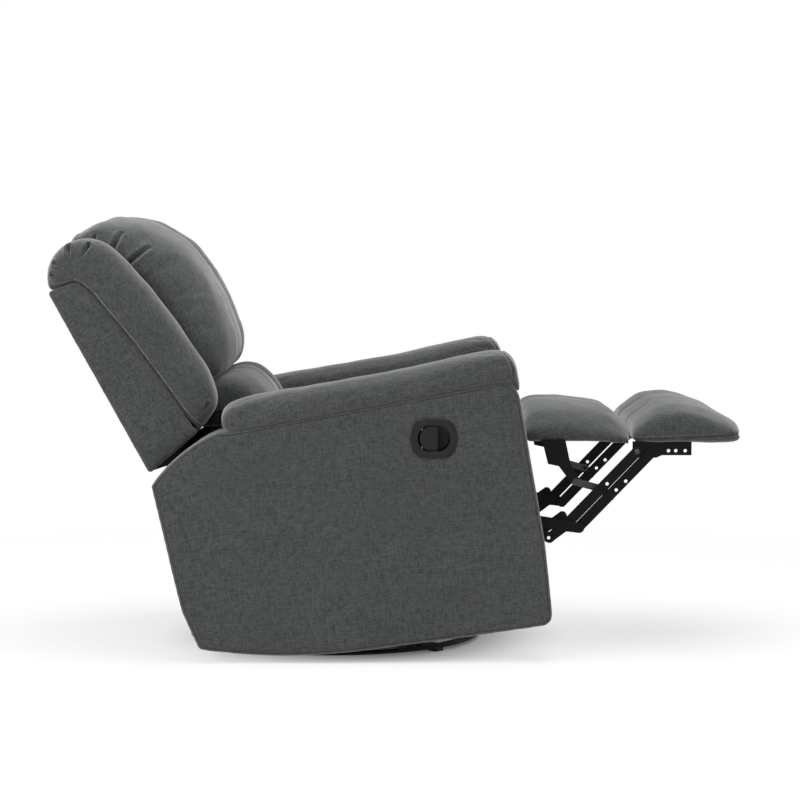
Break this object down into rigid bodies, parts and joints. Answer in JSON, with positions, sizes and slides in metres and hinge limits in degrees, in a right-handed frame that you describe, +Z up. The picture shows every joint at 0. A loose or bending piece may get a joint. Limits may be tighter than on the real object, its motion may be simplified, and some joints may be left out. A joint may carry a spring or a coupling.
{
  "type": "swivel glider recliner",
  "caption": "Upholstered swivel glider recliner on a round base, rocked back, with its jointed footrest out, a reclining winged back and a side release handle.",
  "frame": {"origin": "on the floor, on the axis of the swivel, where the middle pad of the base stands", "axes": "+Z up; the chair faces -Y; the sitter's right hand, with the release handle, is at -X"},
  "size_m": [0.787, 1.5128, 0.964],
  "materials": {
    "upholstery": "dark charcoal-grey woven linen-look cloth, heathered",
    "frame_wood": "plain sanded plywood and softwood",
    "black_steel": "black satin paint",
    "zinc_steel": "zinc plated, dull",
    "black_plastic": "black, fine grained",
    "elastic_web": "black woven elastic"
  },
  "bodies": {
    "base": {"base_ring": "black_steel", "floor_glides": "black_plastic", "swivel_hub": "black_steel", "swivel_bearing": "black_plastic"},
    "stand": {"swivel_deck": "black_steel", "glide_uprights": "black_steel"},
    "glide_front": {"glide_links_front": "black_steel"},
    "glide_rear": {"glide_links_rear": "black_steel"},
    "seat": {"cradle_rails": "black_steel", "cross_tube_front": "black_steel", "cross_tube_rear": "black_steel", "mechanism_plate_right": "black_steel", "mechanism_plate_left": "black_steel", "arm_cover_right": "upholstery", "arm_cover_left": "upholstery", "arm_board_right": "frame_wood", "arm_board_left": "frame_wood", "arm_frame_right": "frame_wood", "arm_frame_left": "frame_wood", "arm_pad_right": "upholstery", "arm_pad_left": "upholstery", "seat_rail_front": "frame_wood", "seat_rail_rear": "frame_wood", "seat_webbing": "elastic_web", "seat_cushion": "upholstery", "rear_panel": "upholstery", "handle_bezel": "black_plastic", "handle_pin": "zinc_steel"},
    "handle": {"handle_flap": "black_plastic"},
    "back": {"back_cover": "upholstery", "back_frame": "frame_wood", "back_webbing": "elastic_web", "back_brackets": "black_steel", "back_wing_right": "upholstery", "back_wing_left": "upholstery", "head_cushion": "upholstery", "lumbar_cushion": "upholstery"},
    "drive": {"drive_links": "black_steel"},
    "front_bar": {"front_bars": "black_steel"},
    "rear_bar": {"rear_bars": "black_steel"},
    "control": {"control_links": "black_steel"},
    "footrest": {"footrest_brackets": "black_steel", "footrest_board": "frame_wood", "footrest_pad": "upholstery", "hinge_leaf_outer": "zinc_steel"},
    "flipper": {"flipper_brackets": "black_steel", "flipper_board": "frame_wood", "flipper_pad": "upholstery", "hinge_leaf_inner": "zinc_steel"},
    "flip_link": {"flipper_links": "zinc_steel"}
  },
  "joints": [
    {"name": "swivel", "type": "hinge", "parent": "base", "child": "stand", "pos_m": [0, 0, 0], "axis": [0, 0, 1], "continuous": true},
    {"name": "front_link_swing", "type": "hinge", "parent": "stand", "child": "glide_front", "pos_m": [0, -0.1, 0.214], "axis": [-1, 0, 0], "range_deg": [0, 35]},
    {"name": "glide", "type": "hinge", "parent": "glide_front", "child": "seat", "pos_m": [0, -0.119, 0.12], "axis": [1, 0, 0], "range_deg": [0, 46.3]},
    {"name": "rear_link_swing", "type": "hinge", "parent": "stand", "child": "glide_rear", "pos_m": [0, 0.074, 0.243], "axis": [-1, 0, 0], "range_deg": [0, 31]},
    {"name": "recline", "type": "hinge", "parent": "seat", "child": "back", "pos_m": [0, 0.12085, 0.19807], "axis": [-1, 0, 0], "range_deg": [0, 30]},
    {"name": "handle_pull", "type": "hinge", "parent": "seat", "child": "handle", "pos_m": [-0.385, -0.19325, 0.49], "axis": [0, 0, -1], "range_deg": [0, 25], "stiffness_Nm_per_rad": 0.2},
    {"name": "footrest_drive", "type": "hinge", "parent": "seat", "child": "drive", "pos_m": [0, -0.3343, 0.3119], "axis": [1, 0, 0], "range_deg": [0, 80.5]},
    {"name": "front_bar_turn", "type": "hinge", "parent": "drive", "child": "front_bar", "pos_m": [0, -0.514, 0.285], "axis": [-1, 0, 0], "range_deg": [0, 126]},
    {"name": "rear_bar_turn", "type": "hinge", "parent": "drive", "child": "rear_bar", "pos_m": [0, -0.544, 0.28], "axis": [-1, 0, 0], "range_deg": [0, 126]},
    {"name": "control_turn", "type": "hinge", "parent": "seat", "child": "control", "pos_m": [0, -0.3, 0.35], "axis": [1, 0, 0], "range_deg": [0, 74]},
    {"name": "footrest_turn", "type": "hinge", "parent": "rear_bar", "child": "footrest", "pos_m": [0, -0.702, 0.444], "axis": [1, 0, 0], "range_deg": [0, 126]},
    {"name": "flipper_fold", "type": "hinge", "parent": "footrest", "child": "flipper", "pos_m": [0, -0.6625, 0.475], "axis": [-1, 0, 0], "range_deg": [0, 101]},
    {"name": "flipper_link_turn", "type": "hinge", "parent": "rear_bar", "child": "flip_link", "pos_m": [0, -0.598, 0.364], "axis": [1, 0, 0], "range_deg": [0, 75]}
  ],
  "couplings": [
    {"joint": "front_link_swing", "follows": "glide", "ratio": 0.7337},
    {"joint": "rear_link_swing", "follows": "glide", "ratio": 0.6486},
    {"joint": "front_bar_turn", "follows": "footrest_drive", "ratio": 1.5582},
    {"joint": "rear_bar_turn", "follows": "footrest_drive", "ratio": 1.5582},
    {"joint": "control_turn", "follows": "footrest_drive", "ratio": 0.912},
    {"joint": "footrest_turn", "follows": "footrest_drive", "ratio": 1.5582},
    {"joint": "flipper_fold", "follows": "footrest_drive", "ratio": 1.2422},
    {"joint": "flipper_link_turn", "follows": "footrest_drive", "ratio": 0.9205}
  ]
}
